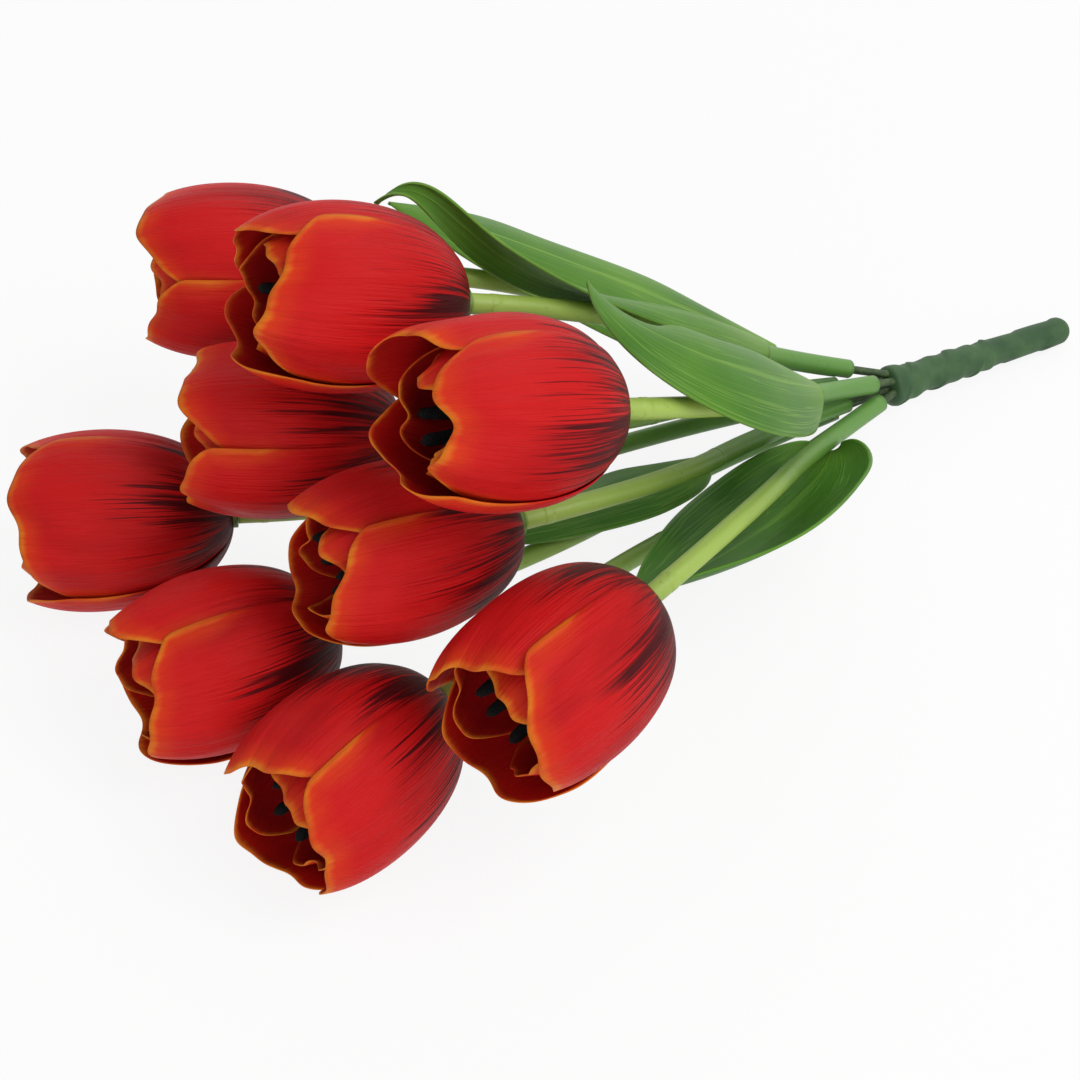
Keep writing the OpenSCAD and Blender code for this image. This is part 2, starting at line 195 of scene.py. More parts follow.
# Distance from the tip and radius there, in mm
HANDLE_OUTLINE = [
    (0, 0.2), (0.3, 1.4), (0.9, 2.6), (1.9, 3.6), (3.2, 4.2), (4.6, 4.4), (14, 4.5), (24, 4.35),
    (33, 4.45), (35.5, 5.0), (39, 4.75), (41, 5.2), (43, 5.05), (46, 4.7), (49.5, 5.4), (53, 5.15),
    (57, 5.5), (59.5, 5.1), (62.5, 5.0), (66, 5.75), (68.5, 5.6), (71, 6.2), (73.5, 6.5),
    (74.6, 5.9), (75.3, 4.2), (75.8, 2.4), (76, 0.3),
]
LEAST_RADIUS = 0.1
GRIP_START = 30 * MM
GRIP_RUN = 10 * MM
LUMP_DEPTH = 0.4 * MM
LUMPS_PER_METRE = 160
SHANK_LUMPS = 0.25
WRAP_PITCH = 15 * MM
WRAP_DEPTH = 0.45 * MM
TIP_RUN = 4 * MM
CROWN_RUN = 3 * MM


def smooth_path(points, per_step):
    """Points on a smooth curve through the given ones."""
    made = []
    last = len(points) - 1
    for i in range(last):
        before, here, after, beyond = (points[max(0, min(last, i + j))] for j in (-1, 0, 1, 2))
        for step in range(per_step):
            t = step / per_step
            made.append(
                0.5 * (
                    2 * here + (after - before) * t
                    + (2 * before - 5 * here + 4 * after - beyond) * t ** 2
                    + (3 * here - before - 3 * after + beyond) * t ** 3
                )
            )
    return made + [points[-1]]


def stand(place, direction):
    """Frame at a place with its Z along a direction, turned as the CAD turns it."""
    z = direction.normalized()
    x = Vector((z.x * z.z, z.y * z.z, z.z * z.z - 1)).normalized()
    if abs(z.z) > 0.9999:
        x = Vector((1, 0, 0))
    y = z.cross(x)
    return Matrix((
        (x.x, y.x, z.x, place.x),
        (x.y, y.y, z.y, place.y),
        (x.z, y.z, z.z, place.z),
        (0, 0, 0, 1),
    ))


def new_rim(grown):
    """The vertices that an extrusion made, and the edges among them."""
    verts = [item for item in grown if isinstance(item, bmesh.types.BMVert)]
    rim = set(verts)
    edges = [item for item in grown if isinstance(item, bmesh.types.BMEdge)]
    return verts, [edge for edge in edges if edge.verts[0] in rim and edge.verts[1] in rim]


def sweep(bm, points, radii, sides, along=None, closed=True):
    """Draws a tube along points by extruding a circle from each to the next."""
    last = len(points) - 1
    directions = [
        (points[min(i + 1, last)] - points[max(i - 1, 0)]).normalized() for i in range(last + 1)
    ]
    turned = stand(points[0], directions[0])
    layer = bm.verts.layers.float.get("along") or bm.verts.layers.float.new("along")
    made = bmesh.ops.create_circle(bm, cap_ends=closed, segments=sides, radius=1)["verts"]
    ring = turned @ Matrix.Diagonal((radii[0], radii[0], radii[0], 1))
    bmesh.ops.transform(bm, matrix=ring, verts=made)
    rim = set(made)
    edges = [edge for edge in bm.edges if edge.verts[0] in rim and edge.verts[1] in rim]
    for vert in made:
        vert[layer] = along[0] if along else 0
    for i in range(1, last + 1):
        swing = directions[i - 1].rotation_difference(directions[i]).to_matrix().to_4x4()
        turned = Matrix.Translation(points[i]) @ swing @ turned.to_3x3().to_4x4()
        next_ring = turned @ Matrix.Diagonal((radii[i], radii[i], radii[i], 1))
        made, edges = new_rim(bmesh.ops.extrude_edge_only(bm, edges=edges)["geom"])
        bmesh.ops.transform(bm, matrix=next_ring @ ring.inverted(), verts=made)
        ring = next_ring
        for vert in made:
            vert[layer] = along[i] if along else i / last
    if closed:
        bmesh.ops.edgeloop_fill(bm, edges=edges)


def fit_piece(name, bm, body, nodes, materials, sharp_angle=None):
    """Makes an object of a mesh that is in place, and lets it stand for CAD nodes on their body."""
    data = bpy.data.meshes.new(name)
    bm.to_mesh(data)
    bm.free()
    for polygon in data.polygons:
        polygon.use_smooth = True
    if sharp_angle:
        data.set_sharp_from_angle(angle=math.radians(sharp_angle))
    for material in materials:
        data.materials.append(material)
    made = bpy.data.objects.new(name, data)
    scene.collection.objects.link(made)
    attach(made, body)
    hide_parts(*nodes)
    return made


def rise(value, low, high):
    """0 below low and 1 above high, with a smooth change between them."""
    return value.node(
        "MapRange",
        {"interpolation_type": "SMOOTHSTEP"},
        {"Value": value, "From Min": low, "From Max": high},
    )


def tint(amount, first, second):
    """The first colour where amount is 0, and the second where it is 1."""
    return amount.node("Mix", {"data_type": "RGBA"}, {0: amount, 6: first, 7: second}, 2)


def grain(place, scale, detail=2):
    """Noise from 0 to 1."""
    return place.node("TexNoise", {}, {"Vector": place, "Scale": scale, "Detail": detail})


def own_place(dye):
    """The piece's own coordinates."""
    return dye.node("TexCoord", output="Object")


def relief(height, strength, distance):
    """A normal that follows a height, for fine relief."""
    return height.node(
        "Bump", {}, {"Strength": strength, "Distance": distance, "Height": height}
    )


handle_dir = Vector((math.cos(HANDLE_SLOPE), 0, -math.sin(HANDLE_SLOPE)))
outline = smooth_path([Vector((*point, 0)) for point in HANDLE_OUTLINE], OUTLINE_STEPS)
tip = CROWN + HANDLE_LENGTH * handle_dir
bm = bmesh.new()
sweep(
    bm,
    [tip - handle_dir * point.x * MM for point in outline],
    [max(point.y, LEAST_RADIUS) * MM for point in outline],
    HANDLE_SIDES,
)
handle_frame = stand(tip, -handle_dir)
for vert in bm.verts:
    local = handle_frame.inverted() @ vert.co
    reach = local.z
    ends = min(1, max(0, reach / TIP_RUN), max(0, (HANDLE_LENGTH - reach) / CROWN_RUN))
    lumpy = min(1, max(SHANK_LUMPS, (reach - GRIP_START) / GRIP_RUN))
    lump = noise.noise(vert.co * LUMPS_PER_METRE) * lumpy
    wrap = (reach / WRAP_PITCH + math.atan2(local.y, local.x) / (2 * math.pi)) % 1
    local.z = 0
    grown = ends * (LUMP_DEPTH * lump + WRAP_DEPTH * (wrap - 0.5))
    vert.co += handle_frame.to_3x3() @ local.normalized() * grown
bmesh.ops.recalc_face_normals(bm, faces=bm.faces)
handle_plastic, dye = new_material("handle_plastic")
cloud = grain(own_place(dye), 90, 4)
speck = grain(own_place(dye), 900)
handle_green = tint(
    rise(cloud, 0.35, 0.7),
    colour(0.035, 0.085, 0.036),
    colour(0.068, 0.142, 0.056),
)
set_shader(handle_plastic, {
    "Base Color": handle_green,
    "Roughness": 0.42 + cloud * 0.25,
    "Specular IOR Level": 0.25,
    "Normal": relief(cloud + speck * 0.3, 0.35, 0.0006),
})
fit_piece("moulded_handle", bm, "handle", ["handle"], [handle_plastic])

# Stem wires: nine coated core wires of 2.4 mm. Each is set in the crown by a bead, runs bare for a
# short way, goes through its sleeve and ends in the hub of its flower.
# A row for each tulip: side and rise of its wire at the crown, and length of bare wire there.
STEMS = {
    1: (24, 16, 15), 2: (8, 27, 16), 3: (-9, 24, 10),
    4: (10, 12, 17), 5: (20, -4, 15), 6: (6, -5, 17),
    7: (-4, 9, 17), 8: (-8, -6, 15), 9: (-18, 9, 8),
}
WIRE_R = 1.2 * MM
BEAD_R = 1.3 * MM
# Places along a bead and its radii there, in shares of its radius
BEAD_OUTLINE = [(-0.98, 0.2), (-0.8, 0.6), (-0.4, 0.92), (0, 1), (0.3, 0.95)]
BEAD_END = 0.5
NECK_RUN = 9 * MM
PEG_DEPTH = 3.2 * MM
WIRE_SIDES = 14
ARC_STEPS = 40
SHARP_ANGLE = 40

joints = {joint["name"]: joint for joint in frame["joints"]}


def heading(side, up):
    """Direction that heads towards -X, turned towards +Y by side and upwards by up."""
    side, up = math.radians(side), math.radians(up)
    return Vector((-math.cos(side) * math.cos(up), math.sin(side) * math.cos(up), math.sin(up)))


def arc(start, corner, end, steps):
    """Points on the circular arc that is tangent to both sides of a corner."""
    weight = math.sqrt((1 + (corner - start).normalized().dot((end - corner).normalized())) / 2)
    points = []
    for i in range(steps):
        t = i / steps
        parts = ((1 - t) ** 2, 2 * weight * t * (1 - t), t ** 2)
        points.append((parts[0] * start + parts[1] * corner + parts[2] * end) / sum(parts))
    return points


def stem_root(k):
    return Vector(joints[f"stem_bend_{k}"]["pos_m"])


def head_place(k):
    joint = joints[f"head_twist_{k}"]
    return Vector(joint["pos_m"]), Vector(joint["axis"]).normalized()


def stem_route(k):
    """Middle line of a stem, in two arcs from the start of its sleeve to its neck."""
    side, up, bare = STEMS[k]
    leaving = heading(side, up)
    seat, axis = head_place(k)
    start = stem_root(k) + bare * MM * leaving
    neck = seat - NECK_RUN * axis
    way, sum_dir = neck - start, leaving + axis
    bow = 2 - 2 * leaving.dot(axis)
    reach = (math.sqrt(way.dot(sum_dir) ** 2 + bow * way.dot(way)) - way.dot(sum_dir)) / bow
    first, last = start + reach * leaving, neck - reach * axis
    middle = (first + last) / 2
    return arc(start, first, middle, ARC_STEPS) + arc(middle, last, neck, ARC_STEPS) + [neck]


wire_coat, dye = new_material("wire_coat")
flake = grain(own_place(dye), 700, 3)
set_shader(wire_coat, {
    "Base Color": tint(
        rise(flake, 0.4, 0.65), colour(0.03, 0.06, 0.02), colour(0.07, 0.12, 0.035)
    ),
    "Roughness": 0.5 + flake * 0.2,
    "Normal": relief(flake, 0.3, 0.0003),
})
for k in STEMS:
    seat, axis = head_place(k)
    root = stem_root(k)
    route = stem_route(k)
    leaving = (route[0] - root).normalized()
    bead = [root + leaving * BEAD_R * along for along, radius in BEAD_OUTLINE]
    points = bead + [root + leaving * BEAD_R * BEAD_END] + route + [seat + axis * PEG_DEPTH]
    radii = [BEAD_R * radius for along, radius in BEAD_OUTLINE] + [WIRE_R] * (len(route) + 2)
    bm = bmesh.new()
    sweep(bm, points, radii, WIRE_SIDES)
    bmesh.ops.recalc_face_normals(bm, faces=bm.faces)
    fit_piece(
        f"core_wire_{k}", bm, f"stem_{k}", [f"stem_wire_{k}"], [wire_coat], SHARP_ANGLE
    )

# Stem sleeves: soft plastic tubes of 5.8 mm, slid over the wires. They are cut square at the crown,
# joined by collars, and turn from mid green at the crown to yellow-green below the flower.
SLEEVE_R = 2.9 * MM
COLLAR_R = 3.0 * MM
COLLAR_HALF = 1.2 * MM
COLLAR_EDGE = 0.15 * MM
SLEEVE_WALL = 1.35 * MM
SLEEVE_SIDES = 28
SLEEVE_END = 1.65 * MM
NECK_STEPS = 8

sleeve_plastic, dye = new_material("sleeve_plastic")
along = dye.node("Attribute", {"attribute_name": "along"}, output="Fac")
mottle = grain(own_place(dye), 60, 3)
fleck = grain(own_place(dye), 500)
sleeve_green = tint(
    rise(along + mottle * 0.3 - 0.15, 0.1, 1.0),
    colour(0.12, 0.29, 0.05),
    colour(0.37, 0.52, 0.09),
)
sleeve_green = tint(rise(fleck, 0.62, 0.8) * 0.35, sleeve_green, colour(0.05, 0.14, 0.02))
set_shader(sleeve_plastic, {
    "Base Color": sleeve_green,
    "Roughness": 0.36 + mottle * 0.2,
    "Normal": relief(mottle + fleck * 0.2, 0.2, 0.0004),
})


def path_lengths(points):
    """Length of a path from its start to each of its points."""
    lengths = [0]
    for before, after in zip(points, points[1:]):
        lengths.append(lengths[-1] + (after - before).length)
    return lengths


def point_at(points, lengths, distance):
    """Point of a path at a distance from its start."""
    i = max(j for j in range(len(lengths) - 1) if lengths[j] <= distance)
    return points[i].lerp(points[i + 1], (distance - lengths[i]) / (lengths[i + 1] - lengths[i]))


for k in STEMS:
    seat, axis = head_place(k)
    route = stem_route(k)
    end = seat - axis * SLEEVE_END
    points = route + [route[-1].lerp(end, i / NECK_STEPS) for i in range(1, NECK_STEPS + 1)]
    lengths = path_lengths(points)
    collars = [lengths[ARC_STEPS], lengths[2 * ARC_STEPS]]
    marks = set(lengths)
    for collar in collars:
        for half in (COLLAR_HALF, COLLAR_HALF - COLLAR_EDGE):
            marks.update((collar - half, collar + half))
    marks = sorted(mark for mark in marks if 0 <= mark <= lengths[-1])
    radii = []
    for mark in marks:
        raised = any(abs(mark - collar) < COLLAR_HALF - COLLAR_EDGE / 2 for collar in collars)
        radii.append(COLLAR_R if raised else SLEEVE_R)
    bm = bmesh.new()
    sweep(
        bm,
        [point_at(points, lengths, mark) for mark in marks],
        radii,
        SLEEVE_SIDES,
        [mark / lengths[-1] for mark in marks],
        closed=False,
    )
    bmesh.ops.recalc_face_normals(bm, faces=bm.faces)
    sleeve = fit_piece(
        f"soft_sleeve_{k}", bm, f"stem_{k}", [f"stem_sleeve_{k}"], [sleeve_plastic],
        SHARP_ANGLE,
    )
    wall = sleeve.modifiers.new("wall", "SOLIDIFY")
    wall.thickness = SLEEVE_WALL
    wall.offset = -1

# Flower hubs: small rivet-shaped plastic mouldings that hold the petals of each head together. Only
# the rim of the flange shows behind the flower, so the CAD solids stay and get a moulded finish.
hub_plastic, dye = new_material("hub_plastic")
cloud = grain(own_place(dye), 300, 3)
set_shader(hub_plastic, {
    "Base Color": tint(
        rise(cloud, 0.35, 0.7), colour(0.12, 0.22, 0.04), colour(0.22, 0.34, 0.07)
    ),
    "Roughness": 0.45 + cloud * 0.2,
    "Normal": relief(cloud, 0.2, 0.0003),
})
for k in STEMS:
    hub = frame["nodes"][f"flower_hub_{k}"]
    hub.data.materials.clear()
    hub.data.materials.append(hub_plastic)

# Petals: each head has two rings of three petals, cut in one piece of satin cloth and pressed into
# a cup that closes towards its mouth. The cloth is red with an uneven orange rim and dark strokes
# from the base. The inside of the cup gets a deeper red, which is painted shade. Sizes are in mm.
CUP_R = 25.5
CUP_LENGTH = 62
CUP_START = 4.3
SEAT_R = 2.9
CUP_SHOULDER = 0.96
CUP_SWELL = 1.26
SWELL_HEIGHT = 0.66
SEAT_TILT = math.radians(8)
SEAT_SPREAD = 112
OUTER_SPREAD = 128
INNER_SPREAD = 114
HALF_PETAL = 27
PETAL_COUNT = 3
PETAL_STEP = 360 / PETAL_COUNT
PETAL_COLUMNS = 24
PETAL_ROWS = 24
PETAL_CLOTH = 0.35
PETAL_SEED = 7
INNER_DEPTH = 2.0
# Mouth of each cup as a share of its radius, roll of its petals, and how far they close inwards
CUPS = {
    1: (0.70, 60, 0), 2: (0.60, 117, 0), 3: (0.55, 118, 0),
    4: (0.72, 57, 1.4), 5: (0.78, 14, 0), 6: (0.70, 103, 0),
    7: (0.68, 90, 1.4), 8: (0.70, 98, 0), 9: (0.70, 105, 0),
}
# Outer petals whose tips curl outwards, by tulip and petal
CURLS = {(3, 1): 3.5, (9, 0): 1.5}
# Shares of a petal's length between which it fills out, opens at the top and curls at the tip
SEAT_RUN = (0, 0.25)
BODY_RUN = (0.08, 0.4)
TOP_RUN = (0.55, 1)
TIP_CURL_RUN = (0.65, 1)
# Shares of its half width between which an edge is lifted over the next petal or tucked under it
EDGE_RUN = (0.4, 1)
TUCKED_RUN = (0.4, 0.9)
LIFTED_RUN = (0.5, 0.9)
EDGE_LIFT = 0.4
EDGE_TUCK = 0.9
FRINGE = 0.008
FRINGE_COUNT = 12
WAVE_COUNT = 5
INWARD_WAVE = 2.5
FOLD_COUNT = 9
CREASE_WIDTH = 0.12
# How far the outer petals may go inwards, with more at the rim, and the inner ones outwards
OUTER_LEAST = -1.1
OUTER_RIM_LEAST = -1.4
INNER_SET_BACK = 0.9
INNER_MOST = 0.2


def bezier(points, t):
    while len(points) > 1:
        points = [a.lerp(b, t) for a, b in zip(points, points[1:])]
    return points[0]


def cup_point(mouth, share, depth):
    """Radius and height of a cup at a share of its length, moved inwards by depth."""
    shoulder = CUP_SHOULDER * CUP_R
    poles = [
        Vector((CUP_START, 0)),
        Vector((shoulder, (shoulder - CUP_START) * math.tan(SEAT_TILT))),
        Vector((CUP_SWELL * CUP_R, SWELL_HEIGHT * CUP_LENGTH)),
        Vector((mouth * CUP_R, CUP_LENGTH)),
    ]
    slope = (bezier(poles[1:], share) - bezier(poles[:-1], share)).normalized()
    return bezier(poles, share) - depth * Vector((slope.y, -slope.x))


def ramp(value, low, high):
    t = min(1, max(0, (value - low) / (high - low)))
    return t * t * (3 - 2 * t)


class Petal:
    """How one petal departs from the plain cup. One side edge is tucked under the next petal."""

    def __init__(self, draw, outer, curl):
        self.length = draw.uniform(0.95, 1.0)
        self.drop = draw.uniform(0.13, 0.22)
        self.blunt = draw.uniform(2.6, 4.4)
        self.lobes = draw.uniform(0.014, 0.034)
        self.lobe_count = draw.uniform(2.5, 5)
        self.phase = draw.uniform(0, 6.3)
        self.dome = draw.uniform(0.5, 1.0)
        self.wave = draw.uniform(0.4, 1.0)
        self.flare = draw.uniform(0.2, 1.3) if outer else -draw.uniform(2.2, 3.6)
        self.curl = curl
        self.fold = draw.uniform(0.08, 0.25)
        self.crease = draw.uniform(-0.35, 0.45)
        self.crease_depth = draw.uniform(0.2, 0.8)
        self.skew = draw.uniform(-2.5, 2.5)
        self.seed = draw.uniform(0, 50)

    def bulge(self, across, along):
        """How far the petal stands out from the cup."""
        top = ramp(along, *TOP_RUN)
        free = 1 - ramp(-across, *TUCKED_RUN)
        wave = math.sin(WAVE_COUNT * across + self.phase)
        if wave < 0:
            wave *= INWARD_WAVE * top * (1 - ramp(across, *LIFTED_RUN))
        bulge = ramp(along, *BODY_RUN) * (
            self.dome * (1 - across ** 2)
            + self.fold * math.sin(FOLD_COUNT * across + 3 * self.phase + 2 * along)
            + EDGE_LIFT * ramp(across, *EDGE_RUN) - EDGE_TUCK * ramp(-across, *EDGE_RUN)
            - self.crease_depth * math.exp(-((across - self.crease) / CREASE_WIDTH) ** 2)
        )
        bulge += free * (self.flare * top ** 2 + self.wave * top * wave)
        return bulge + free * self.curl * ramp(along, *TIP_CURL_RUN) ** 2

    def point(self, mouth, closed, centre, across, along, depth):
        share = along * self.length * (
            1 - self.drop * abs(across) ** self.blunt
            + self.lobes * math.sin(self.lobe_count * across + self.phase)
            + FRINGE * math.sin(FRINGE_COUNT * across + 2 * self.phase)
        )
        bulge = self.bulge(across, along)
        if depth:
            bulge = min(bulge - INNER_SET_BACK, INNER_MOST)
        else:
            bulge = max(bulge, OUTER_LEAST + OUTER_RIM_LEAST * ramp(along, *TOP_RUN) ** 2)
        place = cup_point(mouth, share, depth + closed * ramp(along, *BODY_RUN) - bulge)
        widest = INNER_SPREAD if depth else OUTER_SPREAD
        spread = SEAT_SPREAD + (widest - SEAT_SPREAD) * ramp(along, *SEAT_RUN)
        angle = math.radians(centre + self.skew * along ** 2 + across * spread / 2)
        return Vector((place.x * math.cos(angle), place.x * math.sin(angle), place.y))


def head_frame(k):
    """Frame of a head, in which sizes are in mm."""
    return stand(*head_place(k)) @ Matrix.Diagonal((MM, MM, MM, 1))


def petal_ring(k, name, depth, turn, draw):
    """Mesh of three petals that grow from one flat seat."""
    mouth, roll, closed = CUPS[k]
    petals = [
        Petal(draw, depth == 0, 0 if depth else CURLS.get((k, i), 0)) for i in range(PETAL_COUNT)
    ]
    centres = [roll + turn + PETAL_STEP * i for i in range(PETAL_COUNT)]
    bm = bmesh.new()
    across_layer = bm.verts.layers.float.new("across")
    along_layer = bm.verts.layers.float.new("along")
    seed_layer = bm.verts.layers.float.new("seed")
    owner_layer = bm.verts.layers.int.new("petal")
    columns = PETAL_COLUMNS + 1
    row = bmesh.ops.create_circle(bm, segments=PETAL_COUNT * columns, radius=1)["verts"]
    for j, vert in enumerate(row):
        owner = j // columns
        vert[owner_layer] = owner
        vert[across_layer] = 2 * (j % columns) / PETAL_COLUMNS - 1
        vert[seed_layer] = petals[owner].seed
        angle = math.radians(centres[owner] + vert[across_layer] * SEAT_SPREAD / 2)
        vert.co = SEAT_R * math.cos(angle), SEAT_R * math.sin(angle), depth
    edges = list(bm.edges)
    for i in range(PETAL_ROWS + 1):
        made, edges = new_rim(bmesh.ops.extrude_edge_only(bm, edges=edges)["geom"])
        for vert in made:
            vert[along_layer] = i / PETAL_ROWS
            owner = vert[owner_layer]
            vert.co = petals[owner].point(
                mouth, closed, centres[owner], vert[across_layer], vert[along_layer], depth
            )
        edges = [e for e in edges if e.verts[0][owner_layer] == e.verts[1][owner_layer]]
    bmesh.ops.recalc_face_normals(bm, faces=bm.faces)
    sample = max(bm.faces, key=lambda face: face.calc_center_median().z)
    outward = sample.calc_center_median()
    outward.z = 0
    if sample.normal.dot(outward) < 0:
        bmesh.ops.reverse_faces(bm, faces=bm.faces)
    bmesh.ops.transform(bm, matrix=head_frame(k), verts=bm.verts)
    made = fit_piece(
        f"{name}_{k}", bm, f"head_{k}", [f"{name}_{k}"], [petal_outside, shaded_petal_inside]
    )
    smooth = made.modifiers.new("smooth", "SUBSURF")
    smooth.levels = smooth.render_levels = 1
    cloth = made.modifiers.new("cloth", "SOLIDIFY")
    cloth.thickness = PETAL_CLOTH * MM
    cloth.offset = -1
    cloth.material_offset = 1


def petal_finish(name, deep, bright, glow, rim_line, stroke, reach, roughness):
    """Satin cloth whose colours follow each petal from its base to its rim."""
    material, dye = new_material(name)
    across, along, seed = (
        dye.node("Attribute", {"attribute_name": layer}, output="Fac")
        for layer in ("across", "along", "seed")
    )

    def spread(wide, tall, detail=2):
        place = dye.node("CombineXYZ", {}, {"X": across * wide, "Y": along * tall, "Z": seed})
        return grain(place, 1, detail)

    cloud = spread(1.6, 1.8)
    vein = spread(60, 4, 3)
    fray = spread(14, 9, 3)
    wrinkle = spread(7, 1.6) * 2.5
    red = tint(rise(cloud + along * 0.3, 0.35, 0.8), deep, bright)
    red = tint(rise(vein, 0.5, 0.75) * 0.2, red, deep)
    from_rim = (1 - along) * CUP_LENGTH
    from_side = (1 - abs(across)) * HALF_PETAL + (1 - rise(along, 0.45, 0.8)) * 12
    margin = dye.maths("MINIMUM", from_rim, from_side) + (fray - 0.5) * 2
    uneven = rise(spread(2.6, 2.2), 0.34, 0.62)
    red = tint((1 - rise(margin, 0, 8)) * (0.35 + uneven * 0.4), red, glow)
    red = tint((1 - rise(margin, 0, 2.4)) * (0.25 + uneven * 0.6), red, rim_line)
    patch = spread(1.5, 0.3)
    near_base = (1 - along * (1 / reach) + (patch - 0.5) * 2 - abs(across) * 0.3) * 0.36
    broad = rise(spread(18, 1.3, 3) + near_base, 0.6, 0.72)
    thin = rise(spread(44, 2) + near_base, 0.58, 0.7) * 0.8
    strokes = dye.maths("MAXIMUM", broad, thin) * (1 - rise(along, 0.6, 0.8))
    red = tint(strokes * 0.9, red, stroke)
    set_shader(material, {
        "Base Color": red,
        "Roughness": roughness + (vein - 0.5) * 0.2,
        "Specular IOR Level": 0.12,
        "Normal": relief(vein + fray * 0.4 + wrinkle, 0.55, 0.0007),
    })
    return material


petal_outside = petal_finish(
    "petal_outside",
    deep=colour(0.38, 0.003, 0.005),
    bright=colour(0.60, 0.009, 0.010),
    glow=colour(0.74, 0.06, 0.006),
    rim_line=colour(0.80, 0.24, 0.018),
    stroke=colour(0.018, 0.001, 0.003),
    reach=0.75,
    roughness=0.5,
)
# A darker copy of the petal cloth for the inner faces of the cups. Its deeper reds are painted
# shade of the cup's hollow.
shaded_petal_inside = petal_finish(
    "shaded_petal_inside",
    deep=colour(0.24, 0.004, 0.006),
    bright=colour(0.52, 0.008, 0.009),
    glow=colour(0.64, 0.025, 0.008),
    rim_line=colour(0.75, 0.20, 0.018),
    stroke=colour(0.010, 0.001, 0.001),
    reach=0.8,
    roughness=0.55,
)
draw = random.Random(PETAL_SEED)
for k in CUPS:
    petal_ring(k, "outer_petals", 0, 0, draw)
    petal_ring(k, "inner_petals", INNER_DEPTH, PETAL_STEP / 2, draw)

# Stamens: a black pistil and six flocked stamens on one foot, glued on the button of the hub. They
# show in the mouth of each flower. Sizes are in mm.
HUB_TOP = 5.0
FOOT_H = 1.2
FOOT_SIDES = 24
STAMEN_COUNT = 6
STAMEN_ROOT = 2.15
STAMEN_HEIGHT = 50
STAMEN_SPREAD = 9.5
STAMEN_STEPS = 12
STAMEN_SIDES = 12
THREAD_R = 0.7
THREAD_END = 0.4
ANTHER_R = 1.8
ANTHER_LENGTH = 11
ANTHER_KNOBS = 0.08
FLOCK_DEPTH = 0.12
FLOCK_GRAIN = 1.3
STAMEN_SEED = 11
# Heights and radii of the foot, and of the pistil from the middle of the foot
FOOT_OUTLINE = [(0, 4.1), (0.25, 4.3), (0.9, 4.3), (FOOT_H, 3.9)]
PISTIL_OUTLINE = [
    (0, 1.4), (8, 1.19), (17, 1.12), (20, 1.33), (22, 1.4), (23.5, 1.12), (24.4, 0.42),
]

stamen_flock, dye = new_material("stamen_flock")
fuzz = grain(own_place(dye), 1800, 3)
set_shader(stamen_flock, {
    "Base Color": tint(
        rise(fuzz, 0.4, 0.7), colour(0.002, 0.002, 0.002), colour(0.010, 0.009, 0.009)
    ),
    "Roughness": 0.75 + fuzz * 0.2,
    "Specular IOR Level": 0.15,
    "Normal": relief(fuzz, 0.8, 0.0006),
})
draw = random.Random(STAMEN_SEED)
noise.seed_set(STAMEN_SEED)
for k in CUPS:
    bm = bmesh.new()
    sweep(
        bm,
        [Vector((0, 0, height)) for height, radius in FOOT_OUTLINE],
        [radius for height, radius in FOOT_OUTLINE],
        FOOT_SIDES,
    )
    sweep(
        bm,
        [Vector((0, 0, FOOT_H / 2 + height)) for height, radius in PISTIL_OUTLINE],
        [radius for height, radius in PISTIL_OUTLINE],
        STAMEN_SIDES,
    )
    for i in range(STAMEN_COUNT):
        turn = Matrix.Rotation(
            2 * math.pi * i / STAMEN_COUNT + draw.uniform(-0.12, 0.12), 4, "Z"
        )
        root = Vector((STAMEN_ROOT, 0, FOOT_H / 2))
        end = Vector((
            STAMEN_SPREAD + draw.uniform(-0.8, 0.4),
            draw.uniform(-0.8, 0.8),
            STAMEN_HEIGHT - draw.uniform(0, 3),
        ))
        bow = Vector((draw.uniform(-0.8, 0.5), draw.uniform(-0.8, 0.8), 0))
        shares = [step / STAMEN_STEPS for step in range(STAMEN_STEPS + 1)]
        line = [turn @ (root.lerp(end, t) + bow * 4 * t * (1 - t)) for t in shares]
        line = smooth_path(line, 3)
        anther_start = (end - root).length - ANTHER_LENGTH
        radii = []
        for length in path_lengths(line):
            up = (length - anther_start) / ANTHER_LENGTH
            swell = max(0, 1 - abs(2 * up - 1) ** 3) ** 0.5 if up > 0 else 0
            anther = ANTHER_R * swell * (1 + ANTHER_KNOBS * math.sin(9 * up + i))
            radii.append(max(THREAD_R * (THREAD_END if up > 0.98 else 1), anther))
        sweep(bm, line, radii, STAMEN_SIDES)
    for vert in bm.verts:
        flock_place = vert.co * FLOCK_GRAIN + Vector((0, 0, 9 * k))
        vert.co += FLOCK_DEPTH * noise.noise_vector(flock_place)
    bmesh.ops.recalc_face_normals(bm, faces=bm.faces)
    lift = Matrix.Translation((0, 0, HUB_TOP))
    bmesh.ops.transform(bm, matrix=head_frame(k) @ lift, verts=bm.verts)
    fit_piece(f"flocked_stamens_{k}", bm, f"head_{k}", [f"stamens_{k}"], [stamen_flock])

# Leaves: five blades of green satin cloth with pressed veins. The base of each is rolled into a
# sheath that wraps half round the sleeve of its stem, and the blade opens away from it.
# Sizes are in mm.
LEAF_CLOTH = 0.8
LEAF_BEYOND = 80
SHEATH_R = 4.2
SHEATH_ANGLE = math.radians(85)
LEAF_CUP = math.radians(34)
LEAF_ROWS = 48
LEAF_COLUMNS = 16
TIP_HALF_WIDTH = 0.6
BLADE_RUN = (0.12, 0.35)
RIPPLE = 0.9
RIPPLE_COUNT = 11
GROOVE_DEPTH = 0.7
GROOVE_WIDTH = 0.09
LEAF_SEED = 5
